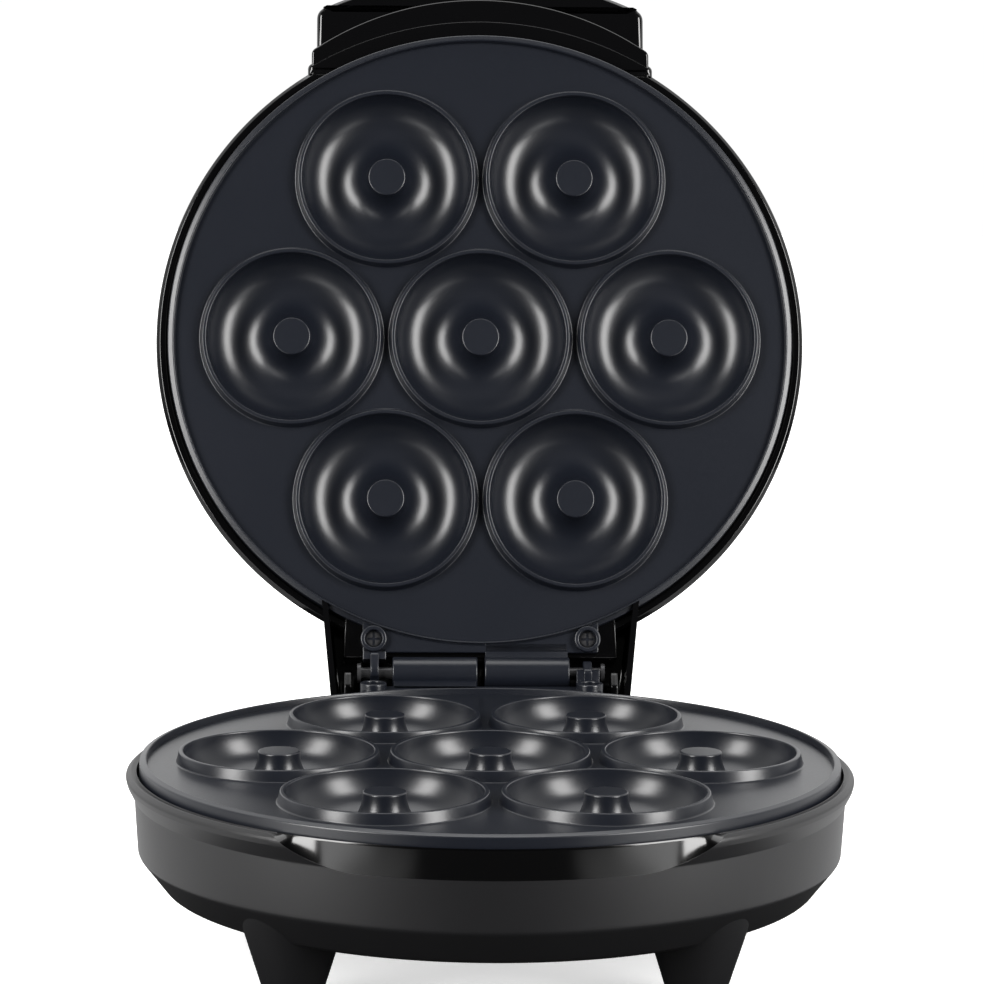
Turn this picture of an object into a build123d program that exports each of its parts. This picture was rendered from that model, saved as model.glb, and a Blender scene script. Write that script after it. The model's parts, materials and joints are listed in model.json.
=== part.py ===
from build123d import *
from math import atan2, cos, degrees, hypot, radians, sin, sqrt
import os

os.makedirs("parts", exist_ok=True)

# A donut maker for seven small ring donuts, shown open. Millimetres; it stands on Z = 0, its front
# towards -Y and its hinge at the back. Everything is drawn about the upright axis of the round base,
# and write() then moves it forward, so that the origin is under the middle of the open appliance.
ORIGIN_BACK = 51.8         # origin behind the axis of the base

# One ring cavity, measured from its own axis; heights count from the top of its post.
POST_R = 6.4
BOWL_IN_R = 11.0           # section arc from the post to the floor
BOWL_OUT_R = 11.5          # section arc from the floor to the mouth
BOWL_STRAIGHT = 0.5        # straight wall over that arc, up to the post's top
RING_RISE = 0.3            # the raised ring's top over the post
RING_LAND = 1.3            # flat width on the raised ring
RING_FLARE = 0.8           # the ring's outer side leans out by this
RING_GAP = 2.0             # web left between two rings

# The baking plates, one aluminium casting used twice.
CAST_T = 2.4
EDGE_R = 0.45              # rounding of the rings, posts and rim
WEB_DROP = 3.1             # web below the post tops
RIM_MARGIN = 8.5           # web between an outer ring and the rim
RIM_FLARE = 0.4            # the rim's inner side leans in by this
RIM_LAND = 2.1
RIM_DROP = 1.0             # rim's top below the post tops
RIM_FALL = 0.7             # the rim's top falls outwards by this
SKIRT_DEPTH = 9.0          # lower edge of the plate's outer wall
PLATE_GAP = 3.48           # between the post tops of the closed plates

# Hinge, cast on to the plates.
HINGE_SETBACK = 8.8        # axis behind the plate's edge
TAB_HALF = 39.5
TAB_REACH = 1.5            # tab beyond the plate's edge
TAB_DROP = 1.2
TAB_T = 3.2
BARREL_R = 5.4
BARREL_START = 1.2
BARREL_END = 29.5
NECK_STEP = 1.0            # the barrel's neck leaves the tab this far behind the barrel's front
EAR_START = 34.0
EAR_T = 2.9
LUG_START = 31.6
LUG_END = 39.4
LUG_RISE = 4.0
PIN_R = 2.0
PIN_SNUG = 0.02            # radial clearance where a pin stays put
PIN_RUNNING = 0.06         # radial clearance where a pin turns
TAB_SCREW_X = 35.8
TAB_FLOOR = 1.6            # metal under a tab screw's head
COLLAR_WALL = 2.7          # round the tab screw
COLLAR_RISE = 2.1          # over the tab
LUG_GAP = 0.4              # lug behind the tab
LUG_T = 2.7
LUG_TAPER = 5.0
TAB_SCREW_Y_BACK = 3.0     # tab screw in front of the plate's rear edge
OPEN_ANGLE = 107.0

# Housings.
PARTING_Z = 60.0           # post tops of the lower plate above the table
SHELL_T = 2.2
PLATE_FIT = 0.8            # gap round a plate in its housing
FLANGE_PROUD = 3.4         # rolled flange beyond the bore
FLANGE_TOP = 4.7           # depth of the flange's top below the post tops
FLANGE_FOOT = 12.4
WALL_SET = 0.7             # side wall beyond the bore
WALL_DRAFT = 1.0
BASE_BREAK = 29.0          # depth where the base's wall turns inwards
BASE_DEPTH = 40.0
BASE_SLOPE_RUN = 10.5      # how far the lower slope leans in
LEDGE_IN = 3.0             # the ledge that carries the plate's skirt
LEDGE_T = 2.0
LID_DEPTH = 43.5
LID_SHOULDER = 27.0
LID_SHOULDER_R = 13.0
LID_CROWN_R = 34.0
LID_CROWN_IN = 20.0        # the crown begins this far inside the side wall
LID_CROWN_DROP = 5.5       # and this far below the middle of the lid
BOTTOM_T = 1.2             # steel base plate
BOTTOM_LIP = 10.5          # inward lip that the bottom cover is screwed to

# Legs and their pads.
LEG_X = 58.0
LEG_FRONT_Y = 66.0
LEG_REAR_X = 40.0
LEG_REAR_Y = 80.0
LEG_END_R = 7.9
LEG_TAPER = 0.314          # radius gained per millimetre of height
PAD_R = 6.2
PAD_T = 2.6
PAD_PROUD = 1.2

# Finger scoop in the front of the base.
SCOOP_FLAT = 42.0          # half width of its level lower edge
SCOOP_HALF = 63.5
SCOOP_DEPTH = 13.8
SCOOP_CUT = 0.5            # how far it lies inside the side wall

# Handle on the lid.
HANDLE_HALF = 56.3
HANDLE_ROOT_HALF = 58.0
HANDLE_STEP = 1.0          # root proud of the grip, above and below
HANDLE_REACH = 18.6        # beyond the flange
HANDLE_ARC_R = 127.0
HANDLE_ROOT_R = 100.0      # plan radius of the root's front edge
HANDLE_ROOT_REACH = 9.4
HANDLE_TOP = 23.0
HANDLE_BASE = 5.6
HANDLE_T = 2.2
HANDLE_EDGE_R = 2.1
HANDLE_BOSS_R = 4.2        # solid round each screw
HANDLE_SCREW_X = 30.0
HANDLE_SCREW_DROP = 18.0

# Hinge tail of the lid and hinge seat of the base.
TAIL_HALF = 52.9
TAIL_END_HALF = 49.0
TAIL_REACH = 17.5          # behind the hinge axis
TAIL_RISE = 21.0           # above the hinge axis
TAIL_T = 2.0
TAIL_R = 9.0               # rounding of its upper back edge
TAIL_HEM = 1.6             # the tail's lower edge above the hinge axis
SEAT_HALF = 46.0
SEAT_DEPTH = 14.0
CHEEK_X = 43.1
CHEEK_T = 2.3
CHEEK_OVER = 1.0           # cheek's top above the hinge axis
GUSSET_W = 12.0            # ribs under the ends of the seat
GUSSET_DROP = 14.0

# Heating.
ELEMENT_R = 47.0
ELEMENT_TUBE_R = 3.25
ELEMENT_ARC = 316.0
SEAT_RIDGE = 4.0           # half width of the cast ridge over the element
CLIP_ANGLES = (30, 150, 270)
CLIP_HALF = 7.0            # clip screw from the middle of the tube
CLIP_T = 1.0
CLIP_END = 3.5             # beyond its screws
CLIP_WIDTH = 7.5
CLIP_HEAD_R = 2.4
CLIP_HEAD_T = 1.1
REFLECTOR_R = 84.0
REFLECTOR_T = 0.6
REFLECTOR_SCREW_R = 33.5
THERMOSTAT_R = 8.0
THERMOSTAT_CAP = 5.0       # depth of its can
THERMOSTAT_DEPTH = 11.0
BLADE_X = 4.2
BRACKET_T = 0.8
FUSE_R = 2.4
FUSE_HALF = 19.0
FUSE_Y = -30.0
FUSE_DROP = 2.6            # its axis under the reflector
STRAP_HALF = 4.0
TERMINAL_Y = 66.0
TERMINAL_HALF_X = 11.0
TERMINAL_HALF_Y = 7.0
TERMINAL_H = 9.0
TERMINAL_X = 5.5           # each way from its middle

# Fasteners and small clearances.
SCREW_R = 1.45
SCREW_HEAD_R = 2.8
SCREW_HEAD_T = 2.0
HOLE_FIT = 0.05
HOLE_CLEAR = 0.2           # radial clearance where a screw passes freely
HEAD_FIT = 0.15
SCREW_BOSS = 1.6           # wall of a small boss round its screw
TAB_SCREW_R = 1.7
FRONT_SCREW_ANGLE = 50.0   # each side of the front
FRONT_SCREW_IN = 9.0       # inside the plate's edge
BOSS_R = 4.0
SHELF_WIDTH = 15.0
SHELF_DROP = 17.0
SHELF_T = 2.5
COVER_SCREW_R = 1.45

# Lamps on the lid.
LAMP_X = 13.0
LAMP_Y = 66.0
LENS_R = 4.2
LENS_PROUD = 0.8
LAMP_R = 2.9
HOLDER_DROP = 7.0         # lamp holder under the lenses' tops
HOLDER_T = 1.8

# Cord inlet.
GLAND_DROP = 27.0
GLAND_BORE_R = 3.6
GLAND_R = 5.4
GLAND_FLANGE_R = 7.2
GLAND_FLANGE_T = 2.4
GLAND_LENGTH = 12.0

# Sizes that follow.
BOWL_FLOOR_R = POST_R + BOWL_IN_R
BOWL_R = BOWL_FLOOR_R + BOWL_OUT_R
BOWL_DEPTH = BOWL_OUT_R + BOWL_STRAIGHT
RING_R = BOWL_R + RING_LAND + RING_FLARE
PITCH = 2 * RING_R + RING_GAP
RIM_FOOT_R = PITCH + RING_R + RIM_MARGIN
PLATE_R = RIM_FOOT_R + RIM_FLARE + RIM_LAND
HINGE_Y = PLATE_R + HINGE_SETBACK
HINGE_RISE = PLATE_GAP / 2
HINGE_Z = PARTING_Z + HINGE_RISE
TAB_SCREW_Y = PLATE_R - TAB_SCREW_Y_BACK
BORE_R = PLATE_R + PLATE_FIT
WALL_R = BORE_R + WALL_SET
FLANGE_R = BORE_R + FLANGE_PROUD
WEB_UNDER = WEB_DROP + CAST_T + 0.2
TAB_UNDER = TAB_DROP + TAB_T
BOWL_UNDER = BOWL_DEPTH + CAST_T
ELEMENT_DROP = BOWL_UNDER + ELEMENT_TUBE_R
REFLECTOR_DROP = ELEMENT_DROP + ELEMENT_TUBE_R + CLIP_T + CLIP_HEAD_T
SEAT_SETBACK = BARREL_R - NECK_STEP     # seat's rear face in front of the hinge axis
FRONT_SCREW_R = PLATE_R - FRONT_SCREW_IN
BASE_FOOT_R = WALL_R - WALL_DRAFT - BASE_SLOPE_RUN
LEGS = [(-LEG_X, -LEG_FRONT_Y), (LEG_X, -LEG_FRONT_Y), (-LEG_REAR_X, LEG_REAR_Y), (LEG_REAR_X, LEG_REAR_Y)]
CAVITIES = [(0.0, 0.0)] + [
    (PITCH * cos(radians(60 * turn)), PITCH * sin(radians(60 * turn))) for turn in range(6)
]


def polar(radius, angle):
    return (radius * cos(radians(angle)), radius * sin(radians(angle)))


def rounded(face, rounds):
    """Round the corners of a flat face nearest to the given points, each (x, y, radius)."""
    for x, y, radius in rounds:
        corner = face.vertices().sort_by_distance(Vector(x, y, 0))[0]
        face = fillet(corner, radius)
    return face


def turned(corners, rounds=()):
    """Solid of revolution about Z from closed (radius, height) corners."""
    face = rounded(make_face(Polyline(*corners, close=True)), rounds)
    return revolve(Plane.XZ * face, Axis.Z, 360)


def upright(radius, low, high, x=0.0, y=0.0):
    """Vertical round bar from low to high."""
    return Pos(x, y, (low + high) / 2) * Cylinder(radius, high - low)


def crosswise(radius, start, end, y, z):
    """Round bar along X from start to end."""
    return Pos((start + end) / 2, y, z) * (Rot(0, 90, 0) * Cylinder(radius, abs(end - start)))


def lengthwise(radius, start, end, x, z):
    """Round bar along Y from start to end."""
    return Pos(x, (start + end) / 2, z) * (Rot(90, 0, 0) * Cylinder(radius, abs(end - start)))


def block(x0, x1, y0, y1, z0, z1):
    """Box between opposite corners."""
    return Pos((x0 + x1) / 2, (y0 + y1) / 2, (z0 + z1) / 2) * Box(abs(x1 - x0), abs(y1 - y0), abs(z1 - z0))


def side_plate(points, x0, x1):
    """Plate between x0 and x1 whose outline is given in (y, z)."""
    outline = Plane.YZ * make_face(Polyline(*points, close=True))
    return Pos(x0, 0, 0) * extrude(outline, x1 - x0)


def lower(thing):
    """Put something made with the lower plate's post tops at height 0 in its place in the base."""
    return Pos(0, 0, PARTING_Z) * thing


def closed_lid(thing):
    """Turn something made like the base's half over, to lie on it as the closed lid's half."""
    return Pos(0, 0, HINGE_Z) * (Rot(0, 180, 0) * (Pos(0, 0, -HINGE_RISE) * thing))


def opened(thing):
    """Swing a closed lid piece about the hinge to its open rest."""
    at_hinge = Pos(0, HINGE_Y, HINGE_Z)
    return at_hinge * (Rot(-OPEN_ANGLE, 0, 0) * (Pos(0, -HINGE_Y, -HINGE_Z) * thing))


def screw(radius, head_r, length, head_t=SCREW_HEAD_T):
    """Pan head screw whose head's seat is at height 0 and whose shank goes up."""
    head = fillet(upright(head_r, -head_t, 0).edges().sort_by(Axis.Z)[0], 0.8)
    slot = Pos(0, 0, -head_t) * (Box(2 * head_r - 1.2, 0.8, 1.2) + Box(0.8, 2 * head_r - 1.2, 1.2))
    return head + upright(radius, -0.1, length) - slot


# The plate casting. Heights count from the post tops; the underside faces -Z.


def cavity_wall():
    """One bowl with its post and raised ring, of even thickness, as a turned section."""
    outer_mid = -BOWL_STRAIGHT
    inner_mid = -BOWL_DEPTH + BOWL_IN_R
    under_outer = BOWL_OUT_R + CAST_T
    under_inner = BOWL_IN_R + CAST_T
    web_reach = BOWL_FLOOR_R + sqrt(under_outer**2 - (outer_mid + WEB_UNDER) ** 2)
    core_top = -CAST_T - 0.4
    core_reach = BOWL_FLOOR_R - sqrt(under_inner**2 - (inner_mid - core_top) ** 2)
    edges = [
        Polyline((0, core_top), (0, 0), (POST_R, 0), (POST_R, inner_mid)),
        RadiusArc((POST_R, inner_mid), (BOWL_FLOOR_R, -BOWL_DEPTH), -BOWL_IN_R),
        RadiusArc((BOWL_FLOOR_R, -BOWL_DEPTH), (BOWL_R, outer_mid), -BOWL_OUT_R),
        Polyline(
            (BOWL_R, outer_mid),
            (BOWL_R, RING_RISE),
            (BOWL_R + RING_LAND, RING_RISE),
            (RING_R, -WEB_DROP),
            (RING_R, -WEB_UNDER),
            (web_reach, -WEB_UNDER),
        ),
        RadiusArc((web_reach, -WEB_UNDER), (BOWL_FLOOR_R, -BOWL_UNDER), under_outer),
        RadiusArc((BOWL_FLOOR_R, -BOWL_UNDER), (core_reach, core_top), under_inner),
        Line((core_reach, core_top), (0, core_top)),
    ]
    face = make_face([edge for part in edges for edge in part.edges()])
    face = rounded(
        face,
        [(POST_R, 0, EDGE_R), (BOWL_R, RING_RISE, EDGE_R), (BOWL_R + RING_LAND, RING_RISE, EDGE_R)],
    )
    return revolve(Plane.XZ * face, Axis.Z, 360)


def cavity_clearing():
    """What is taken out of the web and its ridges where a bowl goes in."""
    middle = CAST_T / 2
    reach = BOWL_R + middle
    outer_mid = -BOWL_STRAIGHT
    floor = -BOWL_DEPTH - middle
    edges = [
        Polyline((BOWL_FLOOR_R, floor), (0, floor), (0, 5), (reach, 5), (reach, outer_mid)),
        RadiusArc((reach, outer_mid), (BOWL_FLOOR_R, floor), reach - BOWL_FLOOR_R),
    ]
    face = make_face([edge for part in edges for edge in part.edges()])
    return revolve(Plane.XZ * face, Axis.Z, 360)


def plate_disc():
    """Web, rim and outer wall of the plate."""
    rim_in = RIM_FOOT_R + RIM_FLARE
    skirt_in = PLATE_R - CAST_T
    corners = [
        (0, -WEB_DROP),
        (RIM_FOOT_R, -WEB_DROP),
        (rim_in, -RIM_DROP),
        (PLATE_R, -RIM_DROP - RIM_FALL),
        (PLATE_R, -SKIRT_DEPTH),
        (skirt_in, -SKIRT_DEPTH),
        (skirt_in, -WEB_UNDER),
        (0, -WEB_UNDER),
    ]
    return turned(corners, [(rim_in, -RIM_DROP, EDGE_R), (PLATE_R, -RIM_DROP - RIM_FALL, EDGE_R)])


def hinge_castings():
    """Tab behind the plate with its screw collars, long barrel at -X and narrow ear at +X."""
    tab_end = PLATE_R + TAB_REACH
    collar_r = TAB_SCREW_R + COLLAR_WALL
    collar_top = TAB_DROP - COLLAR_RISE
    tab = block(-TAB_HALF, TAB_HALF, PLATE_R - 18, tab_end, -TAB_UNDER, -TAB_DROP)
    for side in (-1, 1):
        tab += upright(collar_r, -TAB_UNDER, -collar_top, side * TAB_SCREW_X, TAB_SCREW_Y)
    tab -= upright(PLATE_R - CAST_T / 2, -20, 20)
    barrel = crosswise(BARREL_R, -BARREL_END, -BARREL_START, HINGE_Y, HINGE_RISE)
    neck = [
        (tab_end - 3, -TAB_UNDER),
        (tab_end - 3, -TAB_DROP),
        (tab_end, -TAB_DROP),
        (HINGE_Y - BARREL_R + 0.8, HINGE_RISE - 1),
        (HINGE_Y, HINGE_RISE),
        (HINGE_Y, HINGE_RISE - BARREL_R),
        (HINGE_Y - BARREL_R + NECK_STEP, -TAB_UNDER),
    ]
    barrel += side_plate(neck, -BARREL_END, -BARREL_START)
    lug_front = tab_end + LUG_GAP
    lug_back = lug_front + LUG_T
    lug = block(LUG_START, LUG_END, tab_end - 1, lug_back, -TAB_UNDER, -TAB_DROP)
    foot = Plane.XY.offset(-TAB_UNDER) * (
        Pos((LUG_START + LUG_END) / 2, (lug_front + lug_back) / 2) * Rectangle(LUG_END - LUG_START, LUG_T)
    )
    lug += extrude(foot, TAB_UNDER + LUG_RISE, taper=LUG_TAPER)
    ear = crosswise(BARREL_R - 0.3, EAR_START, EAR_START + EAR_T, HINGE_Y, HINGE_RISE)
    ear += block(EAR_START, EAR_START + EAR_T, lug_front, HINGE_Y, -TAB_UNDER + 1, LUG_RISE)
    return tab + barrel + lug + ear


def hinge_bores(long_fit, ear_fit):
    """Pin bores and tab screw holes to take out of one casting."""
    bores = crosswise(PIN_R + long_fit, -BARREL_END - 1, -BARREL_START + 1, HINGE_Y, HINGE_RISE)
    bores += crosswise(PIN_R + ear_fit, LUG_START - 1, LUG_END + 1, HINGE_Y, HINGE_RISE)
    for side in (-1, 1):
        x = side * TAB_SCREW_X
        bores += upright(TAB_SCREW_R + HOLE_FIT, -TAB_UNDER - 1, 3, x, TAB_SCREW_Y)
        bores += upright(SCREW_HEAD_R + HEAD_FIT, -TAB_UNDER + TAB_FLOOR, 3, x, TAB_SCREW_Y)
    return bores


def clip_screw_spots():
    """Two screws for each clip, inside and outside the tube."""
    return [polar(ELEMENT_R + reach, angle) for angle in CLIP_ANGLES for reach in (-CLIP_HALF, CLIP_HALF)]


def reflector_spots():
    return [polar(REFLECTOR_SCREW_R, angle) for angle in (90, 210, 330)]


def front_spots():
    return [polar(FRONT_SCREW_R, -90 + side * FRONT_SCREW_ANGLE) for side in (-1, 1)]


def plate_casting(long_fit, ear_fit):
    """The whole casting, face up."""
    ridge = upright(ELEMENT_R + SEAT_RIDGE, -ELEMENT_DROP, -WEB_DROP - 1)
    ridge -= upright(ELEMENT_R - SEAT_RIDGE, -ELEMENT_DROP - 1, 0)
    casting = plate_disc() + ridge
    for x, y in clip_screw_spots():
        casting += upright(SCREW_R + SCREW_BOSS, -ELEMENT_DROP - ELEMENT_TUBE_R, -WEB_DROP - 1, x, y)
    for x, y in reflector_spots():
        casting += upright(SCREW_R + SCREW_BOSS, -REFLECTOR_DROP, -WEB_DROP - 1, x, y)
    for x, y in front_spots():
        casting += upright(BOSS_R, -SHELF_DROP, -WEB_DROP - 1, x, y)
    for x, y in CAVITIES:
        casting -= Pos(x, y) * cavity_clearing()
    for x, y in CAVITIES:
        casting += Pos(x, y) * cavity_wall()
    casting += hinge_castings()
    casting -= hinge_bores(long_fit, ear_fit)
    casting -= Pos(0, 0, -ELEMENT_DROP) * Torus(ELEMENT_R, ELEMENT_TUBE_R)
    hole_r = SCREW_R + HOLE_FIT
    for x, y in clip_screw_spots():
        casting -= upright(hole_r, -ELEMENT_DROP - ELEMENT_TUBE_R - 1, -ELEMENT_DROP + 4, x, y)
    for x, y in reflector_spots():
        casting -= upright(hole_r, -REFLECTOR_DROP - 1, -REFLECTOR_DROP + 8, x, y)
    for x, y in front_spots():
        casting -= upright(hole_r, -SHELF_DROP - 1, -SHELF_DROP + 8, x, y)
    return casting


# Heating parts of one half, made for the base with the post tops at height 0.


def heating_element():
    """Tubular element: most of a circle, its ends turned down to bare pins."""
    gap = (360 - ELEMENT_ARC) / 2
    start = 90 + gap
    tube = Pos(ELEMENT_R, 0, 0) * (Rot(90, 0, 0) * Circle(ELEMENT_TUBE_R))
    ring = revolve(tube, Axis.Z, ELEMENT_ARC)
    ring = Pos(0, 0, -ELEMENT_DROP) * (Rot(0, 0, start) * ring)
    stub = 1.5
    for angle in (start, start + ELEMENT_ARC):
        x, y = polar(ELEMENT_R, angle)
        ring += Pos(x, y, -ELEMENT_DROP) * Sphere(ELEMENT_TUBE_R)
        ring += upright(ELEMENT_TUBE_R - 0.25, -REFLECTOR_DROP - stub, -ELEMENT_DROP, x, y)
        ring += upright(1.2, -REFLECTOR_DROP - 5 * stub, -REFLECTOR_DROP, x, y)
    return ring


def element_clips():
    """Three flat clips that hold the element against its ridge."""
    low = -ELEMENT_DROP - ELEMENT_TUBE_R - CLIP_T
    clips = []
    for angle in CLIP_ANGLES:
        x, y = polar(ELEMENT_R, angle)
        clip = Box(2 * (CLIP_HALF + CLIP_END), CLIP_WIDTH, CLIP_T)
        for reach in (-CLIP_HALF, CLIP_HALF):
            clip -= Pos(reach, 0) * Cylinder(SCREW_R + HOLE_CLEAR, 3)
        clips.append(Pos(x, y, low + CLIP_T / 2) * (Rot(0, 0, angle) * clip))
    return clips


def clip_screws():
    low = -ELEMENT_DROP - ELEMENT_TUBE_R - CLIP_T
    return [Pos(x, y, low) * screw(SCREW_R, CLIP_HEAD_R, 6.5, CLIP_HEAD_T) for x, y in clip_screw_spots()]


def reflector():
    """Thin bright dish that throws the heat back to the plate."""
    low = -REFLECTOR_DROP - REFLECTOR_T
    lip = 4.0
    corners = [
        (0, low),
        (REFLECTOR_R, low),
        (REFLECTOR_R, low + lip),
        (REFLECTOR_R - REFLECTOR_T, low + lip),
        (REFLECTOR_R - REFLECTOR_T, low + REFLECTOR_T),
        (0, low + REFLECTOR_T),
    ]
    dish = turned(corners)
    for x, y in reflector_spots():
        dish -= upright(SCREW_R + HOLE_CLEAR, low - 1, low + 2, x, y)
    for angle in (90 + (360 - ELEMENT_ARC) / 2, 90 - (360 - ELEMENT_ARC) / 2):
        x, y = polar(ELEMENT_R, angle)
        dish -= upright(ELEMENT_TUBE_R + 1.2, low - 1, low + 2, x, y)
    dish -= upright(THERMOSTAT_R + 1.5, low - 1, low + 2)
    return dish


def reflector_screws():
    low = -REFLECTOR_DROP - REFLECTOR_T
    return [Pos(x, y, low) * screw(SCREW_R, SCREW_HEAD_R, 6.5) for x, y in reflector_spots()]


def thermostat_bracket():
    """Round bracket that the bowl floor of the middle cavity carries."""
    top = -BOWL_UNDER
    ring = upright(BOWL_FLOOR_R + 2.5, top - BRACKET_T, top)
    return ring - upright(THERMOSTAT_R - 3, top - 2, top + 2)


def thermostat():
    """Snap disc thermostat with two blade terminals."""
    top = -BOWL_UNDER - BRACKET_T
    can = fillet(upright(THERMOSTAT_R, top - THERMOSTAT_CAP, top).edges().sort_by(Axis.Z)[-1], 0.6)
    body = upright(THERMOSTAT_R - 1, top - THERMOSTAT_DEPTH, top - THERMOSTAT_CAP)
    blade = Pos(0, 0, top - THERMOSTAT_DEPTH - 3) * Box(0.8, 4.8, 9)
    return can + body + Pos(-BLADE_X, 0, 0) * blade + Pos(BLADE_X, 0, 0) * blade


# Housings. Profiles are (radius, depth below the post tops), drawn with depth downwards.


def flange_profile():
    """The plate's ledge, bore and rolled flange down to the side wall, from inside to outside."""
    return [
        (BORE_R - LEDGE_IN, -SKIRT_DEPTH - LEDGE_T),
        (BORE_R - LEDGE_IN, -SKIRT_DEPTH),
        (BORE_R, -SKIRT_DEPTH),
        (BORE_R, -FLANGE_TOP - 0.2),
        (FLANGE_R - 1.5, -FLANGE_TOP),
        (FLANGE_R, -FLANGE_TOP - 1.3),
        (FLANGE_R - 0.5, -FLANGE_FOOT + 4.4),
        (WALL_R, -FLANGE_FOOT),
    ]


def flange_rounds():
    return [(FLANGE_R - 1.5, -FLANGE_TOP, 0.6), (FLANGE_R, -FLANGE_TOP - 1.3, 1.2)]


def base_turning():
    """The base's housing before legs, scoop and bosses."""
    break_r = WALL_R - WALL_DRAFT
    lip_top = -BASE_DEPTH + BOTTOM_T + SHELL_T
    cover_r = BASE_FOOT_R - 2.6
    corners = flange_profile() + [
        (break_r, -BASE_BREAK),
        (BASE_FOOT_R + 3.0, -BASE_DEPTH + 1.3),
        (BASE_FOOT_R, -BASE_DEPTH),
        (cover_r, -BASE_DEPTH),
        (cover_r, -BASE_DEPTH + BOTTOM_T),
        (cover_r - BOTTOM_LIP, -BASE_DEPTH + BOTTOM_T),
        (cover_r - BOTTOM_LIP, lip_top),
        (BASE_FOOT_R + 0.6, lip_top),
        (break_r - SHELL_T, -BASE_BREAK + 0.6),
        (WALL_R - SHELL_T, -SKIRT_DEPTH - LEDGE_T - LEDGE_IN),
    ]
    rounds = flange_rounds() + [(break_r, -BASE_BREAK, 2.5), (BASE_FOOT_R + 3.0, -BASE_DEPTH + 1.3, 2.5)]
    return turned(corners, rounds)


def leg_cone(extra=0.0, floor=PAD_PROUD):
    """Cone of one leg, thickened by extra, from the given height to the break of the wall."""
    top = PARTING_Z - BASE_BREAK - 1.5
    low_r = LEG_END_R + extra + LEG_TAPER * (floor - PAD_PROUD)
    high_r = LEG_END_R + extra + LEG_TAPER * (top - PAD_PROUD)
    return Pos(0, 0, (floor + top) / 2) * Cone(low_r, high_r, top - floor)


def scoop_cutter():
    """Takes the flange off the front of the base, where fingers reach under the lid's handle."""
    end = -FLANGE_TOP + 1
    lines = [
        Spline((-SCOOP_HALF, end), (-SCOOP_FLAT, -SCOOP_DEPTH), tangents=[(0.8, -1), (1, 0)]),
        Line((-SCOOP_FLAT, -SCOOP_DEPTH), (SCOOP_FLAT, -SCOOP_DEPTH)),
        Spline((SCOOP_FLAT, -SCOOP_DEPTH), (SCOOP_HALF, end), tangents=[(1, 0), (0.8, 1)]),
        Line((SCOOP_HALF, end), (-SCOOP_HALF, end)),
    ]
    outline = make_face([edge for line in lines for edge in line.edges()])
    window = extrude(Plane.XZ * outline, FLANGE_R + 10)
    ring = turned(
        [
            (BORE_R + 0.3, end),
            (FLANGE_R + 5, end),
            (FLANGE_R + 5, -SCOOP_DEPTH - 2),
            (WALL_R - SCOOP_CUT, -SCOOP_DEPTH - 2),
        ]
    )
    return window & ring


def hinge_seat():
    """Block behind the wall that carries the plate's tab, with a cheek past each end of the pins."""
    back = HINGE_Y - SEAT_SETBACK
    front = PLATE_R - 16
    seat = block(-SEAT_HALF, SEAT_HALF, front, back, -TAB_UNDER - SEAT_DEPTH, -TAB_UNDER)
    under = -TAB_UNDER - SEAT_DEPTH
    gusset = [(back, under), (front, under - GUSSET_DROP), (front, under)]
    for start in (-SEAT_HALF, SEAT_HALF - GUSSET_W):
        seat += side_plate(gusset, start, start + GUSSET_W)
    return seat


def hinge_cheeks():
    cheek = [
        (HINGE_Y - 7.5, -TAB_UNDER - 1),
        (HINGE_Y - 7.5, -TAB_DROP),
        (HINGE_Y - 3.5, HINGE_RISE + CHEEK_OVER),
        (HINGE_Y + 2.5, HINGE_RISE + CHEEK_OVER),
        (HINGE_Y + 2.5, -TAB_DROP - 1),
        (HINGE_Y - SEAT_SETBACK, -TAB_UNDER - 4),
    ]
    return side_plate(cheek, -CHEEK_X - CHEEK_T, -CHEEK_X) + side_plate(cheek, CHEEK_X, CHEEK_X + CHEEK_T)


def tab_bosses():
    """Columns under the tab screws, closed below."""
    columns = []
    for side in (-1, 1):
        columns.append(upright(BOSS_R, -TAB_UNDER - SEAT_DEPTH, -TAB_UNDER, side * TAB_SCREW_X, TAB_SCREW_Y))
    return columns


def tab_boss_holes():
    holes = []
    for side in (-1, 1):
        low = -TAB_UNDER - 10
        holes.append(upright(TAB_SCREW_R + HOLE_FIT, low, -TAB_UNDER + 1, side * TAB_SCREW_X, TAB_SCREW_Y))
    return holes


def screw_shelves(wall_r):
    """Brackets inside the wall for the two front plate screws."""
    inner = FRONT_SCREW_R - BOSS_R - 1.5
    ring = upright(wall_r - 0.3, -SHELF_DROP - SHELF_T, -SHELF_DROP)
    shelves = []
    for x, y in front_spots():
        angle = degrees(atan2(y, x))
        length = wall_r - inner + 2
        bracket = Pos(inner + length / 2, 0, -SHELF_DROP - SHELF_T / 2) * Box(length, SHELF_WIDTH, SHELF_T)
        bracket = Rot(0, 0, angle) * bracket
        hole = upright(SCREW_R + HOLE_CLEAR, -SHELF_DROP - 5, -SHELF_DROP + 2, x, y)
        shelves.append((bracket & ring) - hole)
    return shelves


def cover_screw_spots():
    radius = BASE_FOOT_R - 2.6 - BOTTOM_LIP / 2
    return [polar(radius, angle) for angle in (0, 90, 180, 270)]


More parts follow.
